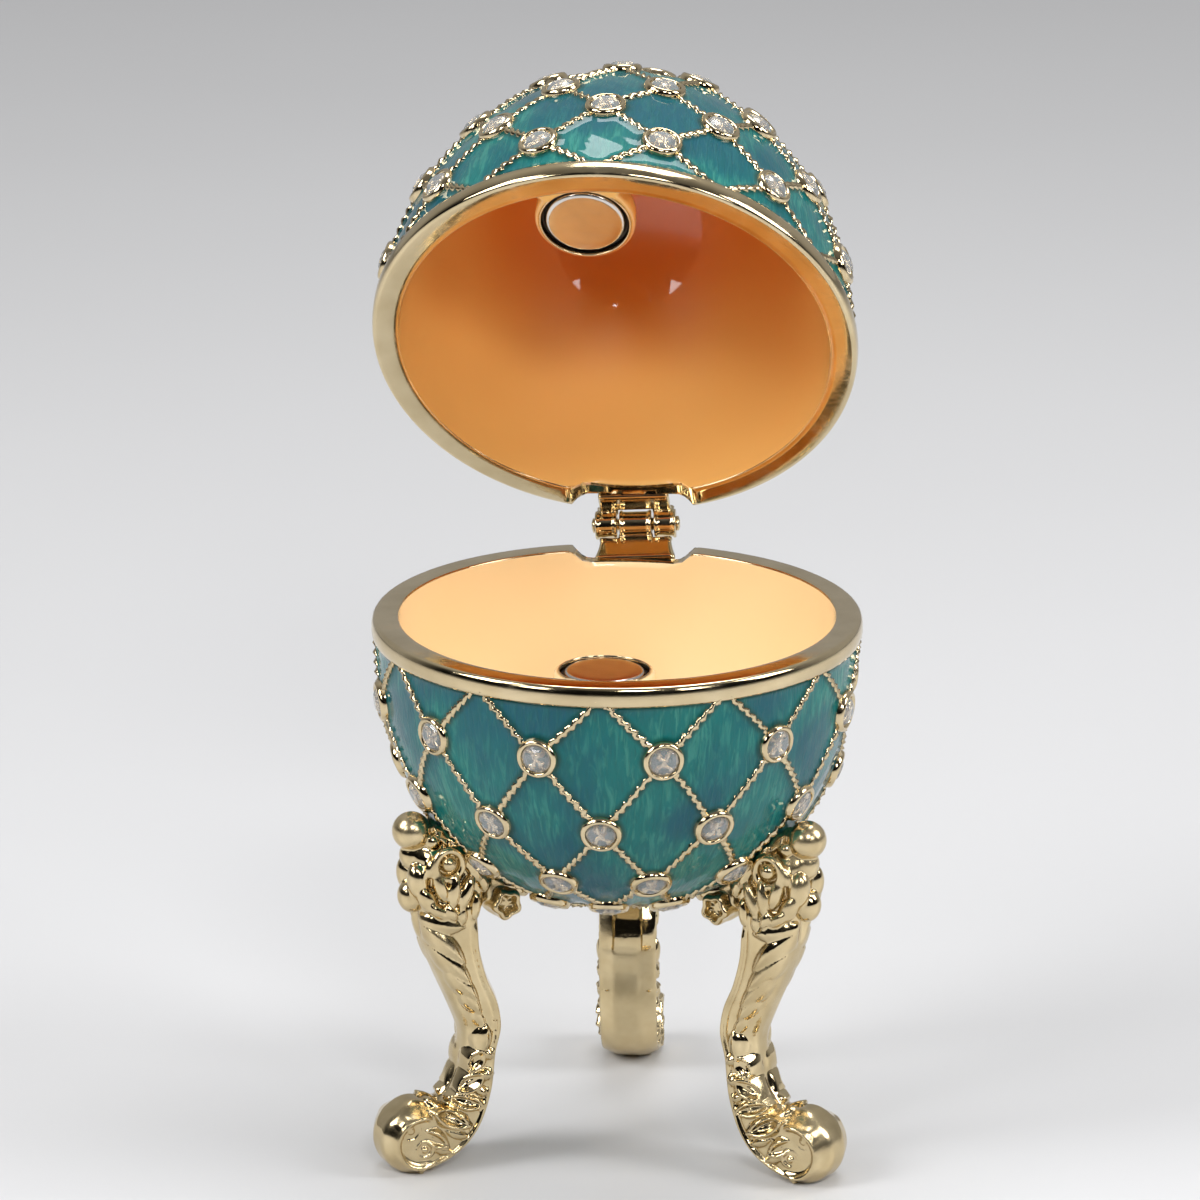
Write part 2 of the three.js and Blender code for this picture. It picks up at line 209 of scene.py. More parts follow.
class Half:
    """The bowl or the lid. Both are worked out as a cup with its rim at height 0."""

    def __init__(self, name, body, depth, fullness, row_arcs, pole_radius, pole_proud, magnet_angle):
        self.name = name
        self.body = body
        self.depth = depth
        self.row_arcs = row_arcs
        self.pole_radius = pole_radius
        self.pole_proud = pole_proud
        self.magnet_angle = magnet_angle
        self.outer = EggProfile(EGG_RADIUS, depth, fullness)
        self.inner = EggProfile(EGG_RADIUS - WALL, depth - WALL, fullness)
        self.pole_arc = self.outer.length - pole_radius

    def row_number(self, arc):
        """Rows are numbered from the crossings hidden under the rim band, row 0, towards the pole."""
        arcs = np.array([HIDDEN_ROW_ARC, *self.row_arcs])
        row = np.clip(np.searchsorted(arcs, arc, side="right"), 1, len(arcs) - 1)
        return row - 1 + (arc - arcs[row - 1]) / (arcs[row] - arcs[row - 1])

    def swing(self, arc):
        """How far a rope has swung from its column's middle."""
        row = self.row_number(arc)
        return COLUMN_ANGLE / 2 * np.abs(row - 2 * np.round(row / 2))

    def on(self, arc, angle, offset=0.0):
        """Points at an arc length and an angle, moved out of the egg's outline by an offset."""
        return around_axis(*self.outer.at(arc, offset), np.radians(angle))

    def normal_on(self, arc, angle):
        return around_axis(*self.outer.normal(arc), np.radians(angle))

    def bezel_places(self):
        """The row, the column, the arc length and the angle of every bezel."""
        for row, arc in enumerate(self.row_arcs, 1):
            for column in range(COLUMNS):
                yield row, column + 1, arc, row_start(row) + column * COLUMN_ANGLE

    def place(self, points):
        """From the cup's own frame to the part's frame, at rest."""
        points = np.array(points, float)
        points[..., 1] += EGG_AXIS_Y
        if self.name == "bowl":
            points[..., 2] += RIM_HEIGHT
            return points
        points[..., 2] = RIM_HEIGHT + RIM_GAP - points[..., 2]
        return (points - PIN) @ LID_SWING.T + PIN

    def make(self, name, points, faces, materials, slot, **settings):
        """A piece of this half, from points in the cup's own frame."""
        full_name = f"{self.name}_{name}"
        return make_piece(full_name, self.place(points), faces, materials, self.body, slot, **settings)


BOWL = Half(
    "bowl", "base", depth=25.8, fullness=2.4, row_arcs=[6.8, 14.2, 21.2, 27.6],
    pole_radius=4.8, pole_proud=0.6, magnet_angle=0,
)
LID = Half(
    "lid", "lid", depth=28.1, fullness=1.95, row_arcs=[5.2, 10.4, 15.6, 23.2, 29.2],
    pole_radius=3.2, pole_proud=0.9, magnet_angle=-5,
)
HALVES = [BOWL, LID]


# Mesh helpers

def loft(rings, first=None, last=None, loop=False):
    """Points and faces of a skin through rings of equal counts.

    A first or last point closes that end to a point, and a loop joins the last ring to the first.
    """
    rings = np.asarray(rings, float)
    count, around = rings.shape[:2]
    points = rings.reshape(-1, 3)
    ring = np.arange(count if loop else count - 1)[:, None]
    along = np.arange(around)[None, :]
    beside = (along + 1) % around
    after = (ring + 1) % count
    quads = np.stack([
        ring * around + along, ring * around + beside, after * around + beside, after * around + along,
    ], -1).reshape(-1, 4)
    faces = quads.tolist()
    ends = [(first, 0, 1), (last, (count - 1) * around, -1)]
    for end, start, direction in ends:
        if end is None:
            continue
        tip = len(points)
        points = np.vstack([points, end])
        for i in range(around):
            edge = [start + (i + 1) % around, start + i]
            faces.append([tip, *edge[::direction]])
    return points, faces


def volume(points, faces):
    triangles = np.array([
        (face[0], face[i], face[i + 1]) for face in faces for i in range(1, len(face) - 1)
    ])
    a, b, c = (points[triangles[:, corner]] for corner in range(3))
    return np.einsum("ij,ij->i", a, np.cross(b, c)).sum() / 6


def add_object(name, data):
    item = bpy.data.objects.new(name, data)
    bpy.context.scene.collection.objects.link(item)
    return item


def add_mesh(name, points, faces, materials):
    mesh = bpy.data.meshes.new(name)
    mesh.from_pydata((np.asarray(points) * MM).tolist(), [], faces)
    for material in materials:
        mesh.materials.append(material)
    return add_object(name, mesh)


def make_piece(name, points, faces, materials, body, slot, smooth=True, face_materials=None):
    """A closed mesh, with its faces pointing out, that rides on a body. Points are in the part's frame."""
    if volume(points, faces) < 0:
        faces = [face[::-1] for face in faces]
    piece = add_mesh(name, points, faces, materials)
    piece.data.polygons.foreach_set("use_smooth", [smooth] * len(faces))
    if face_materials:
        piece.data.polygons.foreach_set("material_index", face_materials)
    piece.data.update()
    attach(piece, body)
    return piece


def keep_values(piece, name, values):
    """Stores one number or one vector for each point, for a material to read."""
    values = np.asarray(values, float)
    kind, field = ("FLOAT", "value") if values.ndim == 1 else ("FLOAT_VECTOR", "vector")
    attribute = piece.data.attributes.new(name, kind, "POINT")
    attribute.data.foreach_set(field, values.ravel())


def turned_rings(profile, segments):
    """Rings about the upright axis, from pairs of radius and height."""
    return np.array([around_axis(radius, height, full_turn(segments)) for radius, height in profile])


def surface_net(distance, low, high, step, relax=2):
    """Points and faces of the closed surface where distance(x, y, z) is zero."""
    axes = [np.arange(start - 2 * step, end + 3 * step, step) for start, end in zip(low, high)]
    grid = np.ix_(*axes)
    inside = np.broadcast_to(distance(*grid), [len(axis) for axis in axes]) < 0
    corners = sum(
        inside[i:i - 1 or None, j:j - 1 or None, k:k - 1 or None].astype(np.int8)
        for i in (0, 1) for j in (0, 1) for k in (0, 1)
    )
    crossed = (corners > 0) & (corners < 8)
    number = np.full(crossed.shape, -1)
    number[crossed] = np.arange(crossed.sum())
    cells = np.argwhere(crossed)
    points = np.stack([axis[0] + (cells[:, i] + 0.5) * step for i, axis in enumerate(axes)], -1)
    faces = []
    for axis in range(3):
        u = (axis + 1) % 3
        v = (axis + 2) % 3
        change = np.diff(inside.astype(np.int8), axis=axis)
        edges = np.argwhere(change)
        quad = []
        for back_u, back_v in ((1, 1), (0, 1), (0, 0), (1, 0)):
            cell = edges.copy()
            cell[:, u] -= back_u
            cell[:, v] -= back_v
            quad.append(number[tuple(cell.T)])
        quad = np.stack(quad, -1)
        inwards = change[tuple(edges.T)] > 0
        quad[inwards] = quad[inwards][:, ::-1]
        faces.append(quad)
    faces = np.concatenate(faces)
    links = np.concatenate([faces[:, [i, (i + 1) % 4]] for i in range(4)])
    points = pulled_to_surface(distance, points, step)
    for _ in range(relax):
        total = np.zeros_like(points)
        count = np.zeros(len(points))
        for start, end in ((0, 1), (1, 0)):
            np.add.at(total, links[:, start], points[links[:, end]])
            np.add.at(count, links[:, start], 1)
        points = pulled_to_surface(distance, total / count[:, None], step)
    return points, faces.tolist()


def pulled_to_surface(distance, points, step, rounds=2):
    probe = step / 8
    for _ in range(rounds):
        x, y, z = points.T
        level = distance(x, y, z)
        slope = np.stack([
            distance(x + probe, y, z) - level,
            distance(x, y + probe, z) - level,
            distance(x, y, z + probe) - level,
        ], -1) / probe
        size = np.maximum((slope ** 2).sum(-1), 0.2)
        move = slope * (np.clip(level, -step, step) / size)[:, None]
        points = points - move
    return points


# Materials

class Nodes:
    """Short calls for the nodes of a material or of the world."""

    def __init__(self, owner):
        owner.use_nodes = True
        self.tree = owner.node_tree

    def node(self, kind, inputs=None, **settings):
        """A node with its settings, and its inputs linked to sockets or set to values."""
        node = self.tree.nodes.new(kind)
        for key, value in settings.items():
            setattr(node, key, value)
        for key, value in (inputs or {}).items():
            self.feed(node.inputs[key], value)
        return node

    def feed(self, socket, value):
        if isinstance(value, bpy.types.NodeSocket):
            self.tree.links.new(value, socket)
        else:
            socket.default_value = value

    def coordinates(self):
        return self.node("ShaderNodeTexCoord").outputs["Object"]

    def attribute(self, name, field="Fac"):
        return self.node("ShaderNodeAttribute", attribute_name=name).outputs[field]

    def noise(self, vector, scale, detail, roughness=0.5, distortion=0):
        """Cloudy noise. Three scales stretch it along its axes."""
        if isinstance(scale, tuple):
            vector = self.node("ShaderNodeMapping", {"Vector": vector, "Scale": scale}).outputs["Vector"]
            scale = 1
        node = self.node("ShaderNodeTexNoise", {
            "Vector": vector, "Scale": scale, "Detail": detail,
            "Roughness": roughness, "Distortion": distortion,
        })
        return node.outputs["Fac"]

    def remap(self, value, low, high, start=0, end=1):
        node = self.node("ShaderNodeMapRange", {
            "Value": value, "From Min": low, "From Max": high, "To Min": start, "To Max": end,
        }, interpolation_type="SMOOTHSTEP")
        return node.outputs["Result"]

    def combine(self, operation, a, b):
        return self.node("ShaderNodeMath", {0: a, 1: b}, operation=operation).outputs[0]

    def mix(self, share, a, b):
        node = self.node("ShaderNodeMix", {"Factor": share, 6: a, 7: b}, data_type="RGBA")
        return node.outputs[2]


class Finish(Nodes):
    """A material on the Principled shader."""

    def __init__(self, name, **values):
        self.material = bpy.data.materials.new(name)
        super().__init__(self.material)
        self.shader = self.tree.nodes["Principled BSDF"]
        for socket, value in values.items():
            self.shader.inputs[socket.replace("_", " ").title().replace("Ior", "IOR")].default_value = value

    def use(self, socket, value):
        self.feed(self.shader.inputs[socket], value)

    def bump(self, height, depth, strength):
        """Fine relief of a depth in millimetres."""
        inputs = {"Height": height, "Distance": depth * MM, "Strength": strength}
        self.use("Normal", self.node("ShaderNodeBump", inputs).outputs["Normal"])

    def clouded(self, scale, detail, dark, light):
        """Lets the colour drift between two, and gives back the share that it drifts by."""
        cloud = self.noise(self.coordinates(), scale, detail)
        self.use("Base Color", self.mix(cloud, (*dark, 1), (*light, 1)))
        return cloud


def teal_enamel():
    """Clear teal glaze over a streaked ground, deeper blue in patches, and darkened as painted shade along
    the ropes, bezels, band and pole boss.
    """
    finish = Finish("teal_enamel", roughness=0.5, coat_weight=0.8, coat_roughness=0.04, coat_ior=1.4)
    finish.use("Specular IOR Level", 0.1)
    flow = finish.attribute("flow", "Vector")
    edge = finish.attribute("edge")
    patches = finish.remap(finish.noise(flow, (0.14, 0.14, 0.1), 2), 0.36, 0.66)
    wavy = finish.noise(flow, (1.9, 1.9, 0.34), 3, 0.55, 0.9)
    strokes = finish.remap(wavy, 0.45, 0.68)
    fine = finish.remap(finish.noise(flow, (3.6, 3.6, 0.5), 2, 0.5, 0.6), 0.4, 0.7)
    ground = finish.mix(patches, (0, 0.085, 0.12, 1), (0, 0.155, 0.145, 1))
    shown = finish.combine("MULTIPLY", strokes, finish.remap(patches, 0, 1, 0.12, 0.7))
    stroked = finish.mix(shown, ground, (0.045, 0.27, 0.215, 1))
    lined = finish.mix(finish.combine("MULTIPLY", fine, 0.28), stroked, (0, 0.1, 0.085, 1))
    # Painted shade: the colour darkens close to the ropes, bezels, band and pole boss, where shadows fall.
    painted_edge_shade = finish.mix(finish.remap(edge, 0, 0.55, 0.85, 0), lined, (0, 0.045, 0.035, 1))
    finish.use("Base Color", painted_edge_shade)
    finish.bump(finish.combine("ADD", strokes, fine), 0.05, 0.6)
    return finish.material


def polished_gold():
    """Pale champagne plating, bright but with faint polishing marks and cast unevenness."""
    finish = Finish("polished_gold", metallic=1, roughness=0.12)
    cloud = finish.clouded(260, 3, (0.54, 0.42, 0.23), (0.82, 0.69, 0.46))
    marks = finish.noise(finish.coordinates(), (900, 900, 2600), 2)
    finish.use("Roughness", finish.remap(finish.combine("MULTIPLY", cloud, marks), 0.1, 0.5, 0.07, 0.22))
    finish.bump(cloud, 0.05, 0.35)
    return finish.material


def cast_gold():
    """The legs' plating: the same gold over a cast surface, with a satin skin in places."""
    finish = Finish("cast_gold", metallic=1, roughness=0.16)
    where = finish.coordinates()
    waves = finish.clouded(420, 3, (0.5, 0.38, 0.19), (0.82, 0.68, 0.43))
    grain = finish.noise(where, 2400, 2)
    satin = finish.remap(finish.noise(where, 150, 2), 0.42, 0.62)
    finish.use("Roughness", finish.remap(satin, 0, 1, 0.09, 0.26))
    height = finish.combine("ADD", waves, finish.combine("MULTIPLY", grain, 0.12))
    finish.bump(height, 0.09, 0.5)
    return finish.material


def lining_enamel(name, deep, pale):
    """Opaque peach glaze inside, deeper in colour towards the pole as painted shade in the hollow."""
    finish = Finish(name, roughness=0.4, coat_weight=1, coat_roughness=0.04)
    along = finish.attribute("along")
    where = finish.coordinates()
    cloud = finish.noise(where, 45, 1)
    share = finish.combine("ADD", along, finish.remap(cloud, 0, 1, -0.12, 0.12))
    # Painted shade: pale near the rim, deep towards the pole.
    finish.use("Base Color", finish.mix(finish.remap(share, -0.05, 0.5), pale, deep))
    finish.use("Roughness", finish.remap(cloud, 0, 1, 0.3, 0.45))
    finish.bump(finish.noise(where, 500, 2), 0.02, 0.25)
    return finish.material


def crystal():
    """Cut glass with a small share of white, which keeps the stones bright."""
    finish = Finish("crystal", roughness=0, ior=1.58, transmission_weight=0.78)
    finish.clouded(300, 1, (0.93, 0.95, 1), (1, 1, 1))
    return finish.material


def silver_foil():
    """The pale silver seat behind each crystal."""
    finish = Finish("silver_foil", metallic=0.35, roughness=0.3)
    finish.clouded(1800, 2, (0.8, 0.82, 0.88), (0.97, 0.97, 0.99))
    return finish.material


def magnet_nickel():
    """Plated nickel with fine scratches."""
    finish = Finish("magnet_nickel", metallic=1, roughness=0.2)
    finish.clouded(500, 2, (0.6, 0.56, 0.52), (0.78, 0.75, 0.71))
    scratches = finish.noise(finish.coordinates(), (300, 5200, 300), 3)
    finish.use("Roughness", finish.remap(scratches, 0.3, 0.7, 0.14, 0.2))
    finish.bump(scratches, 0.01, 0.08)
    return finish.material


def painted_gap_shadow():
    """A near-black ring around each magnet: painted shadow in the gap between the magnet and its pocket."""
    finish = Finish("painted_gap_shadow", roughness=0.35)
    cloud = finish.clouded(900, 3, (0.006, 0.005, 0.005), (0.03, 0.02, 0.016))
    finish.bump(cloud, 0.08, 0.6)
    return finish.material


def pale_floor():
    finish = Finish("pale_floor", roughness=0.45)
    finish.clouded(6, 3, (0.6, 0.6, 0.61), (0.66, 0.66, 0.67))
    return finish.material


ENAMEL = teal_enamel()
GOLD = polished_gold()
CAST_GOLD = cast_gold()
CRYSTAL = crystal()
FOIL = silver_foil()
NICKEL = magnet_nickel()
SHADE_FINISH = painted_gap_shadow()
# The same glaze lines both halves: the lid's lining is painted darker and more orange than the bowl's, as
# shade inside the open lid.
LININGS = {
    "bowl": lining_enamel("bowl_lining", deep=(0.99, 0.55, 0.17, 1), pale=(1, 0.78, 0.44, 1)),
    "lid": lining_enamel("lid_lining", deep=(0.74, 0.19, 0.01, 1), pale=(0.98, 0.58, 0.17, 1)),
}


# Shells of the two halves

def notched(points, floor_radius):
    """Cuts the hinge notch: the rim is lower there, and the wall is cut back behind the hinge leaf."""
    points = np.array(points, float)
    x, y, z = np.moveaxis(points, -1, 0)
    half_width = NOTCH_WIDTH / 2
    behind = y > 0
    seat = -SEAT_DROP * fade(half_width + NOTCH_EASE_OUT, half_width - NOTCH_EASE_IN, np.abs(x))
    z = np.where(behind & (z > seat), seat, z)
    cut = behind & (np.abs(x) < half_width) & (z > -NOTCH_HEIGHT) & (y > floor_radius)
    y = np.where(cut, floor_radius, y)
    return np.stack([x, y, z], -1)


# The half-round band: arc length from the rim, and height out of the egg's outline
BAND = [
    (1.98, -0.95), (1.94, -0.50), (1.82, -0.22), (1.55, -0.06), (1.2, 0.0), (0.85, -0.01),
    (0.5, -0.05), (0.25, -0.12), (0.1, -0.22), (0.02, -0.36),
]
# The flat rim: steps in from the outside, then step out of the inside and height
RIM_STEPS = [0.52, 1.2]
RIM_EDGE = [(0.6, 0.0), (0.16, 0.0), (0.05, -0.04), (0.0, -0.14)]
SHELL_SEGMENTS = 288
SHELL_UNDER_ENAMEL = 0.95
SHELL_UNDER_LINING = 0.3
SHELL_END = 0.6


def metal_shell(half):
    """The cast cup under the enamel, with the half-round band and the flat rim."""
    outside = np.linspace(half.outer.length - SHELL_END, BAND_HEIGHT + SHELL_END, 16)
    inside = np.linspace(SHELL_END, half.inner.length - SHELL_END, 12)
    profile = [half.outer.at(arc, -SHELL_UNDER_ENAMEL) for arc in outside]
    profile += [half.outer.at(arc, offset) for arc, offset in BAND]
    profile += [(EGG_RADIUS - step, 0.0) for step in RIM_STEPS]
    profile += [(EGG_RADIUS - WALL + step, height) for step, height in RIM_EDGE]
    profile += [half.inner.at(arc, SHELL_UNDER_LINING) for arc in inside]
    rings = notched(turned_rings(profile, SHELL_SEGMENTS), NOTCH_FLOOR)
    outer_tip = [0, 0, SHELL_UNDER_ENAMEL - half.depth]
    inner_tip = [0, 0, WALL - half.depth - SHELL_UNDER_LINING]
    points, faces = loft(rings, outer_tip, inner_tip)
    piece = half.make("shell", points, faces, [GOLD], "gold_plate")
    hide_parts(half.name)


def rope_distance(half, arc, angle):
    """How far a point on the surface is from the nearest rope's middle line."""
    radius = half.outer.at(arc)[0]
    swing = half.swing(arc)
    lean = (half.swing(arc + 0.05) - half.swing(arc - 0.05)) / 0.1
    slope = np.radians(lean) * radius
    offs = [np.abs(np.radians(off_column(angle, side * swing))) * radius for side in (-1, 1)]
    return np.minimum(*offs) / np.sqrt(1 + slope ** 2)


def bezel_distance(half, arc, angle):
    """How far a point on the surface is from the middle of the nearest bezel."""
    radius = half.outer.at(arc)[0]
    return np.minimum.reduce([
        np.hypot(arc - row_arc, np.radians(off_column(angle, row_start(row))) * radius)
        for row, row_arc in enumerate(half.row_arcs, 1)
    ])


ROPE_RADIUS = 0.36
ROPE_PITCH = 1.9
ROPE_STEP = 0.17
ROPE_SIDES = 8
ROPE_LIFT = 0.06
ROPE_GRIP = 0.6
STRAND_MEAN = 0.82
STRAND_SWELL = 0.42
# A rope's slight sway to the sides: reach, wave length, and shares of its own wobble
ROPE_SWAYS = [(0.06, 2.3, 1), (0.03, 0.9, 2)]
BEZEL_RADIUS = 1.82
ENAMEL_ROWS = 104
ENAMEL_COLUMNS = 432
ENAMEL_THICKNESS = 0.4
CREEP_HEIGHT = 0.2
CREEP_REACH = 0.28
UNEVENNESS = 0.02
# The ground's pattern lies on a cylinder, shifted along it on the lid
FLOW_RADIUS = EGG_RADIUS * 0.85
LID_FLOW_SHIFT = 40


def glaze_edge(half, arc, angle):
    """How far a point on the surface is from the nearest rope, bezel, band or pole boss."""
    rope = rope_distance(half, arc, angle) - ROPE_RADIUS * ROPE_GRIP
    bezel = bezel_distance(half, arc, angle) - BEZEL_RADIUS
    ends = np.minimum(arc - BAND_HEIGHT, half.pole_arc - arc)
    return np.maximum(np.minimum(np.minimum(rope, bezel), ends), 0)


def enamel_skin(half):
    """The glaze in the cells between the ropes. It creeps up a little at every rope, bezel and band."""
    arcs = np.linspace(BAND_HEIGHT, half.pole_arc + 0.4, ENAMEL_ROWS)
    angles = np.arange(ENAMEL_COLUMNS) / ENAMEL_COLUMNS * 360
    arc, angle = np.meshgrid(arcs, angles, indexing="ij")
    turn = np.radians(angle)
    edge = glaze_edge(half, arc, angle)
    creep = CREEP_HEIGHT * np.exp(-edge / CREEP_REACH)
    uneven = UNEVENNESS * np.sin(turn * 31 + arc * 1.1) * np.sin(arc * 1.7 + turn * 13)
    front = half.on(arc, angle, creep + uneven * fade(0, 1, edge) - ENAMEL_INSET)
    back_arcs = np.linspace(arcs[-1], arcs[0], 10)
    back = half.on(back_arcs[:, None], angles[None, :], -ENAMEL_INSET - ENAMEL_THICKNESS)
    rings = notched(np.concatenate([front, back]), NOTCH_FLOOR - 0.5)
    points, faces = loft(rings, loop=True)
    piece = half.make("enamel", points, faces, [ENAMEL], "teal_enamel")
    flow = around_axis(FLOW_RADIUS, arc, turn)
    if half is LID:
        flow[..., 2] += LID_FLOW_SHIFT
    hidden = len(points) - arc.size
    keep_values(piece, "flow", np.vstack([flow.reshape(-1, 3), np.zeros((hidden, 3))]))
    keep_values(piece, "edge", np.concatenate([edge.ravel(), np.zeros(hidden)]))


LINING_SEGMENTS = 160
LINING_THICKNESS = 0.34
LINING_EDGE = 0.13


def make_lined(half, name, points, faces):
    """A piece with the lining's glaze, whose painted shade deepens its colour nearer to the egg's axis."""
    piece = half.make(name, points, faces, [LININGS[half.name]], "peach_enamel")
    out = np.linalg.norm(points[:, :2], axis=1) / (EGG_RADIUS - WALL)
    # The along value sets the lining's painted shade, 1 at the egg's axis and 0 at the wall.
    keep_values(piece, "along", 1 - np.clip(out, 0, 1))


def lining(half):
    """The peach glaze on the inside."""
    length = half.inner.length
    front_arcs = [LINING_EDGE, 0.2, *np.linspace(0.4, length - 0.4, 50)]
    back_arcs = np.linspace(length - 0.5, LINING_EDGE, 14)
    front = [half.inner.at(arc) for arc in front_arcs]
    back = [half.inner.at(arc, LINING_THICKNESS) for arc in back_arcs]
    rings = notched(turned_rings(front[::-1] + back[::-1], LINING_SEGMENTS), EGG_RADIUS)
    front_tip = [0, 0, WALL - half.depth]
    back_tip = [0, 0, WALL - half.depth - LINING_THICKNESS]
    points, faces = loft(rings, front_tip, back_tip)
    make_lined(half, "lining", points, faces)


BOSS_STEP = 0.24


def magnet_boss(half):
    """The filleted ledge on the front wall that carries the magnet, with its round pocket."""
    centre = turned_to([0, -MAGNET_REACH, 0], half.magnet_angle)

    def distance(x, y, z):
        across = np.hypot(x - centre[0], y - centre[1])
        wall = -half.inner.distance(np.hypot(x, y), np.minimum(z, -1e-3))
        cone = (across - BOSS_RADIUS - (z + BOSS_HEIGHT) * BOSS_RADIUS / BOSS_CONE) * 0.72
        body = soft_max(across - BOSS_RADIUS, z + MAGNET_DROP + 0.05, BOSS_EDGE)
        body = soft_max(body, cone, 0.8)
        sunk = wall + 0.03 + 0.05 * fade(BOSS_RADIUS + 1.5, BOSS_RADIUS + 3.0, across)
        form = soft_min(sunk, body, BOSS_FILLET)
        spread = np.sqrt((across * 0.9) ** 2 + (z + 3.0) ** 2) - BOSS_SPREAD
        pocket = np.maximum(across - MAGNET_RADIUS - POCKET_GAP, -(z + MAGNET_DROP + MAGNET_THICKNESS))
        for cut in (z + BOSS_RIM_GAP, -(wall + BOSS_ROOT), spread, -pocket):
            form = np.maximum(form, cut)
        return form

    points, faces = surface_net(distance, centre - (8.2, 4.6, 10.4), centre + (8.2, 7.8, 0.1), BOSS_STEP)
    make_lined(half, "magnet_boss", points, faces)


MAGNET_SEGMENTS = 72
MAGNET_EDGE = 0.42
# The rings about a magnet: step out from its radius, and height
# The first ring is a dark sheet of painted shadow in the gap around the magnet.
SHADE_RING = [(-0.1, -0.75), (0.15, -0.62), (0.34, -0.5), (0.34, -MAGNET_THICKNESS), (-0.1, -MAGNET_THICKNESS)]
COLLAR = [(0.36, -0.6), (0.36, -0.02), (0.41, 0.04), (0.47, 0.03), (0.52, -0.05), (0.52, -0.6)]


def magnet(half):
    """A plated disc with rounded edges, in a dark ring of painted shadow with a thin bright collar around
    it.
    """
    centre = turned_to([0, -MAGNET_REACH, -MAGNET_DROP], half.magnet_angle)
    middle = MAGNET_RADIUS - MAGNET_EDGE
    disc = [(1.2, 0.0), (2.4, 0.0)]
    for turn in np.linspace(0, np.pi / 2, 7):
        disc.append((middle + MAGNET_EDGE * math.sin(turn), MAGNET_EDGE * (math.cos(turn) - 1)))
    disc.append((MAGNET_RADIUS, -MAGNET_THICKNESS))
    points, faces = loft(turned_rings(disc, MAGNET_SEGMENTS), [0, 0, 0], [0, 0, -MAGNET_THICKNESS])
    piece = half.make("magnet_disc", points + centre, faces, [NICKEL], "magnet_nickel")
    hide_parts(f"{half.name}_magnet")
    # The dark ring stands for the shadow in the magnet's gap: painted shade, not glue.
    rings = [("shaded_gap", SHADE_RING, SHADE_FINISH, "magnet_nickel"), ("collar", COLLAR, GOLD, "gold_plate")]
    for name, outline, material, slot in rings:
        profile = [(MAGNET_RADIUS + step, height) for step, height in outline]
        points, faces = loft(turned_rings(profile, MAGNET_SEGMENTS), loop=True)
        half.make(f"magnet_{name}", points + centre, faces, [material], slot)


def rope(half, column, side, wobble):
    """One twisted wire from the rim band to the pole, two strands thick."""
    arcs = np.arange(BAND_HEIGHT - 0.5, half.pole_arc + 0.5, ROPE_STEP)
    angle = column * COLUMN_ANGLE + side * half.swing(arcs)
    middle = half.on(arcs, angle, ROPE_LIFT - ENAMEL_INSET)
    forward = np.gradient(middle, axis=0)
    step = np.linalg.norm(forward, axis=1)
    forward /= step[:, None]
    up = half.normal_on(arcs, angle)
    across = np.cross(forward, up)
    length = np.cumsum(step)
    sway = sum(reach * np.sin(length / wave + share * wobble) for reach, wave, share in ROPE_SWAYS)
    middle = middle + across * sway[:, None]
    twist = 2 * np.pi * length / ROPE_PITCH + wobble
    thick = ROPE_RADIUS * (1 + 0.08 * np.sin(length / 1.7 + 3 * wobble))
    around = full_turn(ROPE_SIDES)
    strands = STRAND_MEAN + STRAND_SWELL * np.cos(2 * (around[None, :] - twist[:, None]))
    size = thick[:, None] * strands
    rings = (
        middle[:, None, :]
        + (size * np.cos(around))[..., None] * across[:, None, :]
        + (size * np.sin(around))[..., None] * up[:, None, :]
    )
    return loft(rings, middle[0], middle[-1])


def joined(parts):
    """Several sets of points and faces as one."""
    points = []
    faces = []
    for some_points, some_faces in parts:
        start = sum(len(block) for block in points)
        points.append(some_points)
        faces += [[start + corner for corner in face] for face in some_faces]
    return np.vstack(points), faces


def trellis(half):
    """All the ropes that lean one way, and all that lean the other way."""
    draws = np.random.default_rng(7)
    for side, name in ((-1, "left"), (1, "right")):
        ropes = [rope(half, column, side, draws.uniform(0, 2 * np.pi)) for column in range(COLUMNS)]
        points, faces = joined(ropes)
        half.make(f"ropes_{name}", notched(points, NOTCH_FLOOR - 0.4), faces, [GOLD], "gold_plate")


# The bezel's radius and height, from the outside to its silvered middle
BEZEL_PROFILE = [
    (1.78, -0.35), (1.84, 0.0), (1.83, 0.3), (1.77, 0.5), (1.66, 0.64), (1.53, 0.69), (1.42, 0.66),
    (1.34, 0.57), (1.3, 0.44), (1.26, 0.34), (0.7, -0.1),
]
BEZEL_SEGMENTS = 28
FOIL_ROWS = 2
# The crystal's rings of corners: radius, height, count, and a turn in shares of one corner
CRYSTAL_RINGS = [
    (0.7, 0.9, 8, 0.5), (1.06, 0.7, 8, 0.0), (1.29, 0.45, 16, 0.0), (1.29, 0.4, 16, 0.0),
    (0.85, 0.08, 8, 0.5), (0.3, -0.2, 6, 0.0),
]


def bezel_mesh():
    """A bezel, and for each face 0 where it is gold and 1 where it is silvered."""
    points, faces = loft(turned_rings(BEZEL_PROFILE, BEZEL_SEGMENTS), [0, 0, -0.35], [0, 0, -0.32])
    last_gold = len(BEZEL_PROFILE) - FOIL_ROWS
    underside = BEZEL_SEGMENTS * len(BEZEL_PROFILE)
    kinds = [int(max(face) // BEZEL_SEGMENTS > last_gold and underside not in face) for face in faces]
    return points, faces, kinds


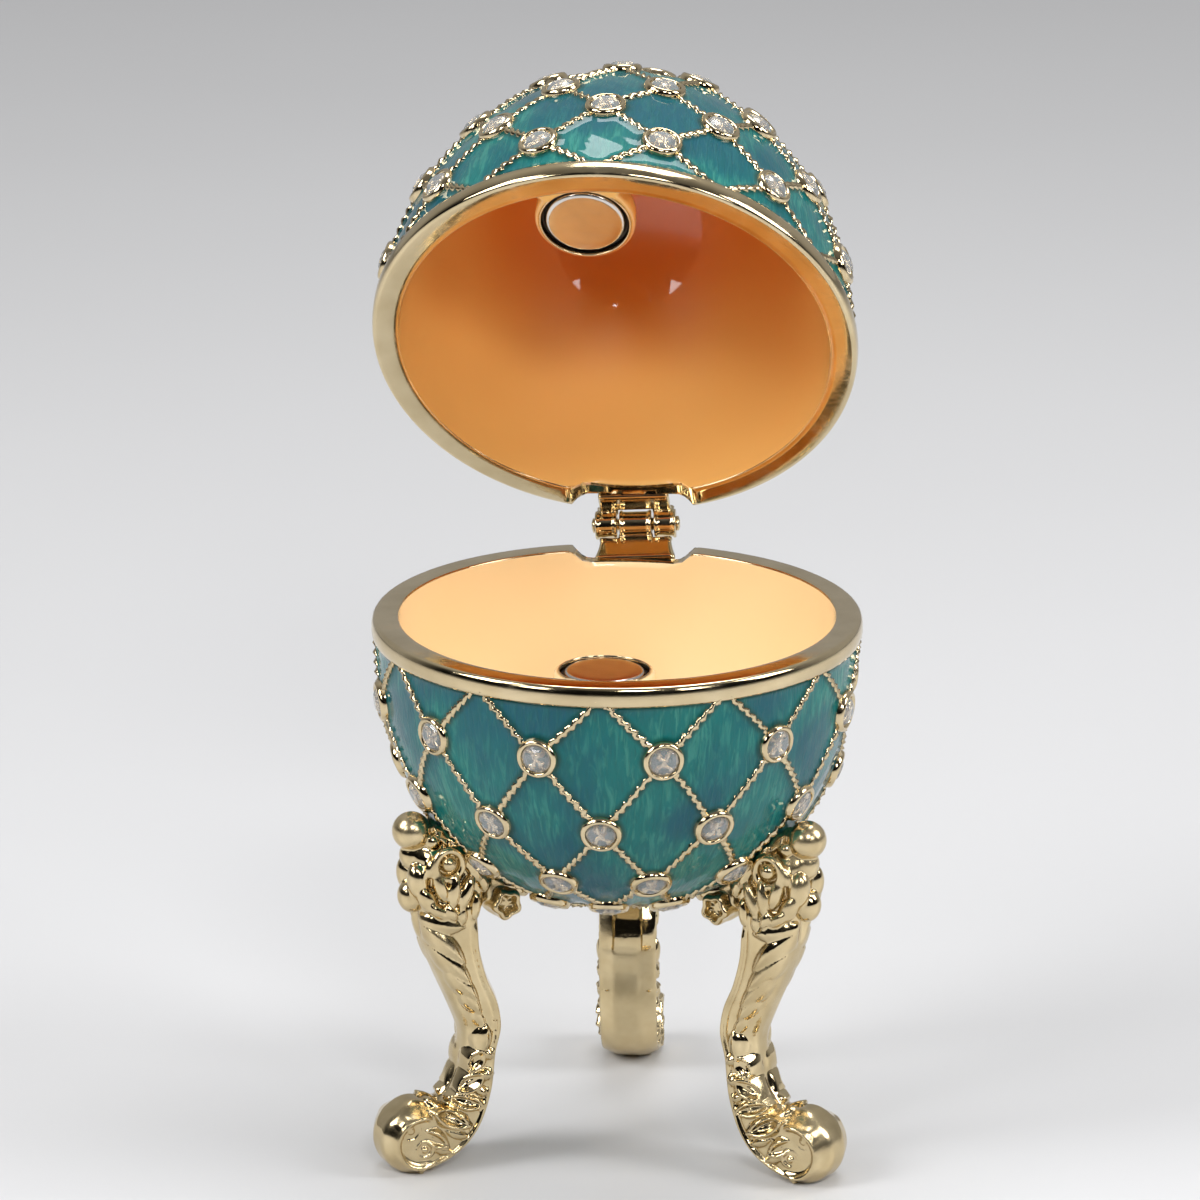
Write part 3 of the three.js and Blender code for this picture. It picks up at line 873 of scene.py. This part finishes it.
def crystal_mesh():
    """A round cut: table, crown, girdle and pavilion, as the hull of its corners."""
    solid = bmesh.new()
    for radius, height, corners, shift in CRYSTAL_RINGS:
        for i in range(corners):
            turn = (i + shift) / corners * 2 * math.pi
            solid.verts.new((radius * math.cos(turn), radius * math.sin(turn), height))
    bmesh.ops.convex_hull(solid, input=solid.verts)
    bmesh.ops.dissolve_limit(solid, angle_limit=math.radians(1), verts=solid.verts, edges=solid.edges)
    solid.verts.index_update()
    points = np.array([vert.co[:] for vert in solid.verts])
    faces = [[vert.index for vert in face.verts] for face in solid.faces]
    solid.free()
    return points, faces


def on_surface(half, arc, angle, turn):
    """A frame on the enamel: its middle, and its axes across, along and out, turned about out."""
    middle = half.on(arc, angle, -ENAMEL_INSET)
    out = half.normal_on(arc, angle)
    side = turned_to([1, 0, 0], angle)
    along = np.cross(out, side)
    axes = np.stack([
        side * math.cos(turn) + along * math.sin(turn),
        along * math.cos(turn) - side * math.sin(turn),
        out,
    ])
    return middle, axes


def jewels(half):
    """Every crystal in its bezel."""
    draws = np.random.default_rng(11)
    bezel_points, bezel_faces, kinds = bezel_mesh()
    gem_points, gem_faces = crystal_mesh()
    for row, column, arc, angle in half.bezel_places():
        middle, axes = on_surface(half, arc, angle, draws.uniform(0, 2 * math.pi))
        place = f"{row}_{column:02d}"
        size = draws.uniform(0.97, 1.03)
        seat = notched(middle + size * bezel_points @ axes, EGG_RADIUS)
        gem = middle + gem_points @ axes
        half.make(f"bezel_{place}", seat, bezel_faces, [GOLD, FOIL], "gold_plate", face_materials=kinds)
        half.make(f"crystal_{place}", gem, gem_faces, [CRYSTAL], "crystal", smooth=False)


POLE_SEGMENTS = 96
POLE_PETALS = 12


def pole_boss(half):
    """The round boss that closes the ropes at the pole: a ring of petals about a domed middle."""
    radius = half.pole_radius
    proud = half.pole_proud
    turn = full_turn(POLE_SEGMENTS)
    petal = np.abs(np.sin(turn * POLE_PETALS / 2)) ** 0.5
    rings = []
    for share in np.linspace(1.04, 0.06, 26):
        rim = 0.35 * fade(0.8, 0.95, share)
        ring_height = proud * np.sqrt(max(0.0, 1 - (share * 0.93) ** 2))
        height = ring_height + petal * 0.3 * fade(0.45, 0.6, share) * fade(1.0, 0.8, share)
        height = height - 0.3 * fade(0.5, 0.42, share) * fade(0.3, 0.42, share) + rim
        height = np.where(share > 1.0, -0.4, height * 0.8)
        arc = half.outer.length - radius * share
        rings.append(around_axis(*half.outer.at(arc, height - ENAMEL_INSET), turn))
    tip = [0, 0, -half.depth + ENAMEL_INSET - proud * 0.8]
    root = [0, 0, -half.depth + 1.5]
    points, faces = loft(rings, root, tip)
    half.make("pole_boss", points, faces, [GOLD], "gold_plate")


# Legs

def spline(points, steps=6):
    """A smooth curve through points."""
    points = np.array(points, float)
    padded = np.vstack([points[:1], points, points[-1:]])
    share = np.arange(steps)[:, None] / steps
    curve = []
    for a, b, c, d in zip(padded, padded[1:], padded[2:], padded[3:]):
        curve.append(
            b + 0.5 * share * (c - a) + share ** 2 * (a - 2.5 * b + 2 * c - 0.5 * d)
            + share ** 3 * (1.5 * (b - c) + 0.5 * (d - a))
        )
    return np.vstack([*curve, points[-1:]])


# A leg's outline in its own plane, from the egg's axis outwards and from the floor up
LEG_FRONT = spline([
    (19.6, 31.0), (19.8, 29.2), (18.9, 26.6), (18.65, 23.8), (18.25, 20.9), (17.2, 18.2),
    (15.7, 14.8), (14.75, 12.2), (14.8, 10), (15.5, 7.2), (17.2, 5),
])
LEG_BACK = spline([
    (19.7, 0.1), (17.6, 0.65), (15.6, 1.9), (14.1, 3.9), (13.1, 6.9), (12.7, 10.2), (12.15, 12.6),
    (12.5, 15), (13.5, 17.4), (14.2, 20.2), (14.3, 22.9),
])
LEG_BRACKET = spline([(14.3, 22.9), (13.5, 23.9), (12.6, 22.8), (11.3, 22.2), (10.2, 22.9), (10, 24.2)])
LEG_TOP = [(10, 27), (15.5, 30.5), (18.2, 31.6)]
LEG_OUTLINE = np.vstack([LEG_FRONT, [SCROLL], LEG_BACK, LEG_BRACKET[1:], LEG_TOP])


def line_distance(path, r, z, closed=False):
    """The distance to a path in the leg's plane, below zero inside it where it is closed."""
    r, z = np.broadcast_arrays(r, z)
    ends = np.roll(path, -1, axis=0) if closed else path[1:]
    best = np.full(r.shape, np.inf)
    inside = np.zeros(r.shape, bool)
    for (ar, az), (br, bz) in zip(path, ends):
        span_r = br - ar
        span_z = bz - az
        size = max(span_r ** 2 + span_z ** 2, 1e-12)
        share = np.clip(((r - ar) * span_r + (z - az) * span_z) / size, 0, 1)
        best = np.minimum(best, (r - ar - share * span_r) ** 2 + (z - az - share * span_z) ** 2)
        if closed and az != bz:
            crosses = ((az > z) != (bz > z)) & (r < ar + (z - az) * span_r / span_z)
            inside ^= crosses
    best = np.sqrt(best)
    return np.where(inside, -best, best) if closed else best


def turned_offset(r, z, middle, angle):
    """The offsets from a middle in the leg's plane: along a direction, and across it."""
    turn = math.radians(angle)
    off_r = r - middle[0]
    off_z = z - middle[1]
    return (
        off_r * math.cos(turn) + off_z * math.sin(turn),
        off_z * math.cos(turn) - off_r * math.sin(turn),
    )


def from_middle(r, z, middle):
    """The distance to a middle in the leg's plane."""
    return np.hypot(r - middle[0], z - middle[1])


def leaf_height(r, z, middle, length, width, angle, height, hollow=False):
    """A leaf in relief, pointed at both ends. A hollow one has a raised border and a vein."""
    along, across = turned_offset(r, z, middle, angle)
    along = along / (length / 2)
    across = across / (width / 2)
    level = np.abs(across) + along ** 2
    if not hollow:
        return height * np.sqrt(np.clip(1.1 - level, 0, 1))
    vein = 0.35 * ridge(across, 0, 0.2) * np.clip(1 - level, 0, 1)
    return height * (ridge(level, 0.72, 0.34) + vein)


# Leaves on the side of each leg: middle, length, width, angle, height, and True where hollow
LEAVES = [
    ((18.2, 22.9), 4.6, 1.7, 12, 0.45), ((17.8, 21.0), 5.4, 1.7, 46, 0.6),
    ((17.1, 18.9), 5.0, 1.6, 46, 0.6), ((16.2, 17.0), 4.4, 1.5, 47, 0.55),
    ((15.4, 15.3), 3.2, 1.2, 52, 0.45), ((14.6, 13.6), 2.2, 0.9, 60, 0.3),
    ((14.3, 11.7), 3.0, 1.6, 100, 0.65), ((13.8, 10.3), 2.0, 1.0, 30, 0.5),
    ((14.9, 9.8), 2.6, 1.5, -62, 0.6, True), ((15.4, 7.8), 3.2, 1.7, -38, 0.6, True),
    ((14.0, 8.4), 2.2, 1.1, 8, 0.5), ((14.5, 6.9), 1.8, 0.9, 25, 0.45),
    ((15.9, 6.1), 3.6, 1.5, 15, 0.6, True), ((17.4, 4.8), 4.2, 1.8, 27, 0.65, True),
    ((19.1, 3.2), 3.4, 1.6, 34, 0.6, True), ((16.9, 3.3), 2.6, 0.9, 24, 0.4),
    ((18.3, 2.0), 2.4, 0.8, 22, 0.4), ((18.4, 6.0), 2.4, 1.1, 35, 0.45),
]
WHORLS = [((21.3, 4.3), 0.95), ((20.0, 2.3), 0.75)]


def side_relief(r, side, z):
    """How far the leg's side stands out of its plain face."""
    from_back = line_distance(LEG_BACK, r, z)
    border = 0.42 * ridge(from_back, 0.5, 0.3) - 0.28 * ridge(from_back, 1.05, 0.22)
    relief = border * fade(23.5, 21.5, z) * fade(1.1, 1.9, side)
    for leaf in LEAVES:
        height = leaf_height(r, z, *leaf)
        relief = np.where(height > 0.03, np.maximum(relief, height), relief)
    away = from_middle(r, z, SCROLL)
    on_roll = fade(18.6, 20.2, r) * fade(7.0, 6.2, z)
    rim = 0.55 * ridge(away - SCROLL_RADIUS, -0.75, 0.34) * on_roll
    dish = -0.6 * fade(2.2, 1.8, away) * fade(18.8, 20.2, r)
    relief = np.maximum(relief + dish, rim)
    for middle, radius in WHORLS:
        away = from_middle(r, z, middle)
        curl = 0.4 * ridge(away, radius, 0.24)
        ball = 0.6 * np.sqrt(np.clip(1 - (away / (radius * 0.5)) ** 2, 0, 1))
        relief = np.maximum(relief, np.maximum(curl, ball) + dish * 0.5)
    return relief


# Lobes in the cluster at the top: middle in the leg's plane, place across it, long and short radius, angle.
LOBES = [
    (19.9, 31.2, 0.0, 1.7, 1.7, 0), (18.4, 30.3, 1.0, 0.75, 0.75, 0), (19.9, 29.0, 0.0, 1.3, 1.1, 90),
    (17.4, 28.5, 2.3, 0.75, 0.75, 0), (19.8, 26.9, 1.1, 1.7, 1.0, 82), (19.2, 25.2, 1.7, 1.5, 0.8, 60),
    (20.0, 25.2, 0.0, 1.5, 1.2, 80), (18.2, 26.4, 2.3, 1.5, 0.62, 72), (17.0, 25.9, 2.5, 1.6, 0.58, 98),
    (15.8, 25.6, 2.4, 1.7, 0.62, 112), (18.4, 24.2, 2.3, 1.2, 0.55, 40), (17.3, 24.0, 2.5, 0.9, 0.5, 60),
    (16.2, 23.6, 2.4, 0.9, 0.45, 90), (14.9, 24.2, 2.3, 1.3, 0.5, 95), (16.0, 29.6, 1.9, 1.4, 0.6, 45),
    (15.1, 27.8, 2.1, 1.7, 0.6, 62), (18.9, 28.2, 1.9, 1.0, 0.6, 110), (14.0, 26.3, 1.8, 1.2, 0.6, 70),
]
LOBE_BLEND = 0.12
ROSETTE = (17.4, 28.4, 2.3)
ROSETTE_RADIUS = 1.3
ROSETTE_WIRE = 0.38
FLOWER = (11.7, 23.8)
FLOWER_RADIUS = 1.5
FLOWER_REACH = 2.5


def lobe_distance(r, side, z, middle, long_radius, short_radius, angle):
    """About the distance to an egg-shaped lobe that leans by an angle in the leg's plane."""
    along, across = turned_offset(r, z, middle, angle)
    size = np.sqrt((along / long_radius) ** 2 + (across ** 2 + (side - middle[2]) ** 2) / short_radius ** 2)
    return (size - 1) * short_radius


def flower_distance(r, side, z):
    """The small roll at the inner end of the bracket: five lobes about a hollow middle."""
    away = from_middle(r, z, FLOWER)
    turn = np.arctan2(z - FLOWER[1], r - FLOWER[0])
    waves = 1 - np.cos(5 * turn + 0.6)
    roll = soft_max(away - FLOWER_RADIUS + 0.13 * waves, side - FLOWER_REACH, 0.6)
    hollow = np.hypot(away, (side - FLOWER_REACH) * 0.8) - 1.0 + 0.12 * waves
    return soft_max(roll, -hollow, 0.2)


def leg_distance(r, across, z):
    """The distance to one leg, standing out along r from the egg's axis."""
    side = np.abs(across)
    flat = line_distance(LEG_OUTLINE, r, z, closed=True)
    roll = fade(7.5, 5.5, z) * fade(16.8, 19.0, r)
    from_front = line_distance(LEG_FRONT, r, z)
    from_back = line_distance(LEG_BACK, r, z)
    front_share = fade(-2.2, 2.2, from_back - from_front) * (1 - roll)
    rounding = 1.6 + 0.5 * front_share
    flat = soft_min(flat, from_middle(r, z, SCROLL) - SCROLL_RADIUS, 0.3)
    flat = flat - LEG_NOSE * front_share - 0.15
    in_cluster = fade(23.8, 25.2, z)
    on_bracket = fade(14.4, 13.2, r) * fade(20.5, 21.5, z)
    on_toe = fade(7.0, 3.0, z) * fade(21.0, 23.3, r)
    half_width = LEG_HALF_WIDTH - 0.2 - 0.4 * in_cluster - 0.9 * fade(28.5, 30.5, z)
    half_width = half_width - 0.7 * on_bracket - 0.25 * on_toe
    pull_r = flat + rounding
    pull_w = side - half_width + rounding
    corner = np.hypot(np.maximum(pull_r, 0), np.maximum(pull_w, 0))
    form = np.minimum(np.maximum(pull_r, pull_w), 0) + corner - rounding
    form = form - side_relief(r, side, z) * fade(0.1, 0.9, side)
    for *middle, long_radius, short_radius, angle in LOBES:
        lobe = lobe_distance(r, side, z, middle, long_radius, short_radius, angle)
        form = soft_min(form, lobe, LOBE_BLEND)
    ring = np.hypot(side - ROSETTE[2], from_middle(r, z, ROSETTE) - ROSETTE_RADIUS) - ROSETTE_WIRE
    form = soft_min(form, ring, LOBE_BLEND)
    form = soft_min(form, flower_distance(r, side, z), 0.2)
    egg = BOWL.outer.distance(r, np.minimum(z - RIM_HEIGHT, -1e-3))
    strip = np.maximum(np.abs(egg + 0.1) - 0.55, side - 1.9 + 0.6 * fade(29, 32, z))
    strip = soft_max(strip, np.maximum(13.0 - r, z - 31.6), 0.4)
    form = soft_min(form, strip, 0.2)
    form = soft_max(form, -(egg + 0.4), 0.2)
    return np.maximum(form, 0.02 - z)


LEG_STEP = 0.155
LEG_ROOM = ((9.3, -3.9, 0.0), (23.9, 3.9, 33.2))


def legs():
    points, faces = surface_net(leg_distance, *LEG_ROOM, LEG_STEP)
    for name, angle in LEG_ANGLES.items():
        turned = turned_to(points[:, [1, 0, 2]] * [1, -1, 1], angle)
        turned[:, 1] += EGG_AXIS_Y
        piece = make_piece(f"{name}_cast", turned, faces, [CAST_GOLD], "base", "gold_plate")
        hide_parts(name)


# Hinge

HINGE_STEP = 0.14
PIN_HEAD = 0.12


def knuckle_distance(x, y, z, centre, width):
    """A short sleeve on the pin with a raised ring at each end."""
    from_pin = np.hypot(y, z)
    along = np.abs(x - centre)
    ring = 0.12 * fade(width / 2 - 0.42, width / 2 - 0.2, along)
    sleeve = soft_max(from_pin - KNUCKLE_RADIUS + 0.12 - ring, along - width / 2, 0.15)
    return np.maximum(sleeve, PIN_RADIUS + 0.06 - from_pin)


def leaf_distance(x, y, z, rise, down, knuckles):
    """A hinge leaf about the pin: a plate that slopes from under the knuckles into the notch, and flares."""
    top = (-0.75, down * (KNUCKLE_RADIUS - 0.35))
    bend = (-PIN_OFFSET - NOTCH_DEPTH + 0.35, -rise + down * SEAT_DROP)
    end = (bend[0], bend[1] + down * 2.6)
    sheet = line_distance(np.array([top, bend, end]), y, z) - LEAF_THICKNESS / 2
    share = np.clip((z * down - top[1] * down) / abs(bend[1] - top[1]), 0, 1)
    half_width = LEAF_TOP_WIDTH / 2 + (HINGE_WIDTH - LEAF_TOP_WIDTH) / 2 * share ** 2
    form = soft_max(sheet, np.abs(x) - half_width, 0.25)
    horn = np.sqrt((np.abs(x) - half_width + 0.25) ** 2 + (y - top[0]) ** 2 + (z - top[1]) ** 2) - 0.42
    form = soft_min(form, horn, 0.3)
    for centre, width in knuckles:
        form = soft_min(form, knuckle_distance(x, y, z, centre, width), 0.12)
    return soft_max(form, -knuckle_room(x, y, z, knuckles), 0.1)


def knuckle_room(x, y, z, knuckles):
    """The space that the other leaf's knuckles and the pin turn in."""
    from_pin = np.hypot(y, z)
    beside = np.minimum.reduce([np.abs(x - centre) - width / 2 for centre, width in knuckles])
    others = np.maximum(from_pin - KNUCKLE_RADIUS - 0.12, KNUCKLE_GAP * 0.5 - beside)
    others = np.maximum(others, np.abs(x) - HINGE_WIDTH / 2 - 0.3)
    return np.minimum(others, from_pin - PIN_RADIUS - 0.06)


def hinge():
    """Both leaves and the pin, worked out about the pin with its skew, and the lid's leaf swung open."""
    skew = np.array(Matrix.Rotation(-math.atan2(-PIN_AXIS[2], -PIN_AXIS[0]), 3, "Y"))
    rise = PIN[2] - RIM_HEIGHT
    outer = (HINGE_WIDTH - MIDDLE_KNUCKLE) / 2 - KNUCKLE_GAP
    outer_middle = (HINGE_WIDTH - outer) / 2
    one = [(0.0, MIDDLE_KNUCKLE)]
    pair = [(-outer_middle, outer), (outer_middle, outer)]
    low = (-HINGE_WIDTH / 2 - 0.3, -4.0, -5.2)
    high = (HINGE_WIDTH / 2 + 0.3, 1.6, 5.0)
    leaves = [
        ("bowl_hinge_leaf", "base", (rise, -1, one), np.eye(3)),
        ("lid_hinge_leaf", "lid", (rise - RIM_GAP, 1, pair), LID_SWING),
    ]
    for name, body, form, turn in leaves:
        points, faces = surface_net(lambda *where: leaf_distance(*where, *form), low, high, HINGE_STEP)
        points = points @ skew.T @ turn.T + PIN
        piece = make_piece(f"{name}_plate", points, faces, [GOLD], body, "gold_plate")
        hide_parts(name)
    end = HINGE_WIDTH / 2 + 0.22
    tip = end + PIN_HEAD
    head = PIN_RADIUS + PIN_HEAD
    profile = [(0.35, -tip), (head, -end), (head, 0.2 - end), (PIN_RADIUS, 0.3 - end)]
    profile += [(PIN_RADIUS, end - 0.3), (head, end - 0.2), (head, end), (0.35, tip)]
    points, faces = loft(turned_rings(profile, 32), [0, 0, -tip], [0, 0, tip])
    points = points[:, [2, 1, 0]] @ skew.T + PIN
    piece = make_piece("hinge_pin_rod", points, faces, [GOLD], "base", "gold_plate")
    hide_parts("hinge_pin")


# Stage

CAMERA_AZIMUTH = 4.111
CAMERA_ELEVATION = 17.33
CAMERA_DISTANCE = 684.09
CAMERA_TARGET_HEIGHT = 49.51
FOCAL_PIXELS = 7829.13
IMAGE_PIXELS = 1200
IMAGE_SHIFT_PIXELS = 17.141
SENSOR = 36.0


def camera():
    data = bpy.data.cameras.new("camera")
    data.sensor_width = SENSOR
    data.lens = FOCAL_PIXELS * SENSOR / IMAGE_PIXELS
    data.shift_x = -IMAGE_SHIFT_PIXELS / IMAGE_PIXELS
    data.clip_start = 0.05
    data.clip_end = 20
    view = add_object("camera", data)
    elevation = math.radians(CAMERA_ELEVATION)
    target = Vector((0, EGG_AXIS_Y, CAMERA_TARGET_HEIGHT))
    back = Vector(turned_to([0, -math.cos(elevation), math.sin(elevation)], CAMERA_AZIMUTH))
    view.location = (target + back * CAMERA_DISTANCE) * MM
    view.rotation_euler = back.to_track_quat("Z", "Y").to_euler()
    bpy.context.scene.camera = view
    bpy.context.scene.view_settings.view_transform = "Standard"


# Soft boxes: name, place, width, height, power in watts. Each faces the middle of the box.
LIGHTS = [
    ("light_left", (-420, -200, 400), 200, 300, 2.0),
    ("light_right", (440, -60, 330), 180, 260, 1.45),
    ("light_top", (40, 160, 560), 320, 200, 1.6),
    ("light_front", (130, -520, 440), 150, 100, 1.0),
    ("light_front_left", (-330, -470, 330), 120, 170, 0.5),
    ("light_front_right", (350, -440, 300), 110, 150, 0.4),
]


def lights():
    for name, place, width, height, power in LIGHTS:
        data = bpy.data.lights.new(name, "AREA")
        data.shape = "RECTANGLE"
        data.size = width * MM
        data.size_y = height * MM
        data.energy = power
        lamp = add_object(name, data)
        lamp.location = Vector(place) * MM
        away = Vector(place) - Vector((0, 0, CAMERA_TARGET_HEIGHT))
        lamp.rotation_euler = away.to_track_quat("Z", "Y").to_euler()


# The room's light grows along an axis: from a low to a high share, from a dark to a light value
ROOM_RAMPS = [("Y", -0.15, 0.6, 0.006, 0.38), ("Z", 0.45, 0.95, 0.0, 0.18)]


def studio():
    """A soft room: light behind and above the box, dark on the camera's side."""
    world = bpy.data.worlds.new("studio")
    bpy.context.scene.world = world
    room = Nodes(world)
    where = room.node("ShaderNodeTexCoord").outputs["Generated"]
    along = room.node("ShaderNodeSeparateXYZ", {0: where}).outputs
    ramps = [room.remap(along[axis], low, high, dark, light) for axis, low, high, dark, light in ROOM_RAMPS]
    room.feed(room.tree.nodes["Background"].inputs["Color"], room.combine("ADD", *ramps))


FLOOR_REACH = 2500
FLOOR_THICKNESS = 20
FLOOR_DROP = 0.02


def floor():
    reach = FLOOR_REACH
    corners = [(-reach, -reach), (reach, -reach), (reach, reach), (-reach, reach)]
    points = [(x, y, z) for z in (-FLOOR_THICKNESS, -FLOOR_DROP) for x, y in corners]
    faces = [(3, 2, 1, 0), (4, 5, 6, 7), (0, 1, 5, 4), (1, 2, 6, 5), (2, 3, 7, 6), (3, 0, 4, 7)]
    slab = add_mesh("floor", points, faces, [pale_floor()])


camera()
lights()
studio()
floor()
for egg_half in HALVES:
    metal_shell(egg_half)
    enamel_skin(egg_half)
    lining(egg_half)
    magnet_boss(egg_half)
    magnet(egg_half)
    trellis(egg_half)
    jewels(egg_half)
    pole_boss(egg_half)
legs()
hinge()
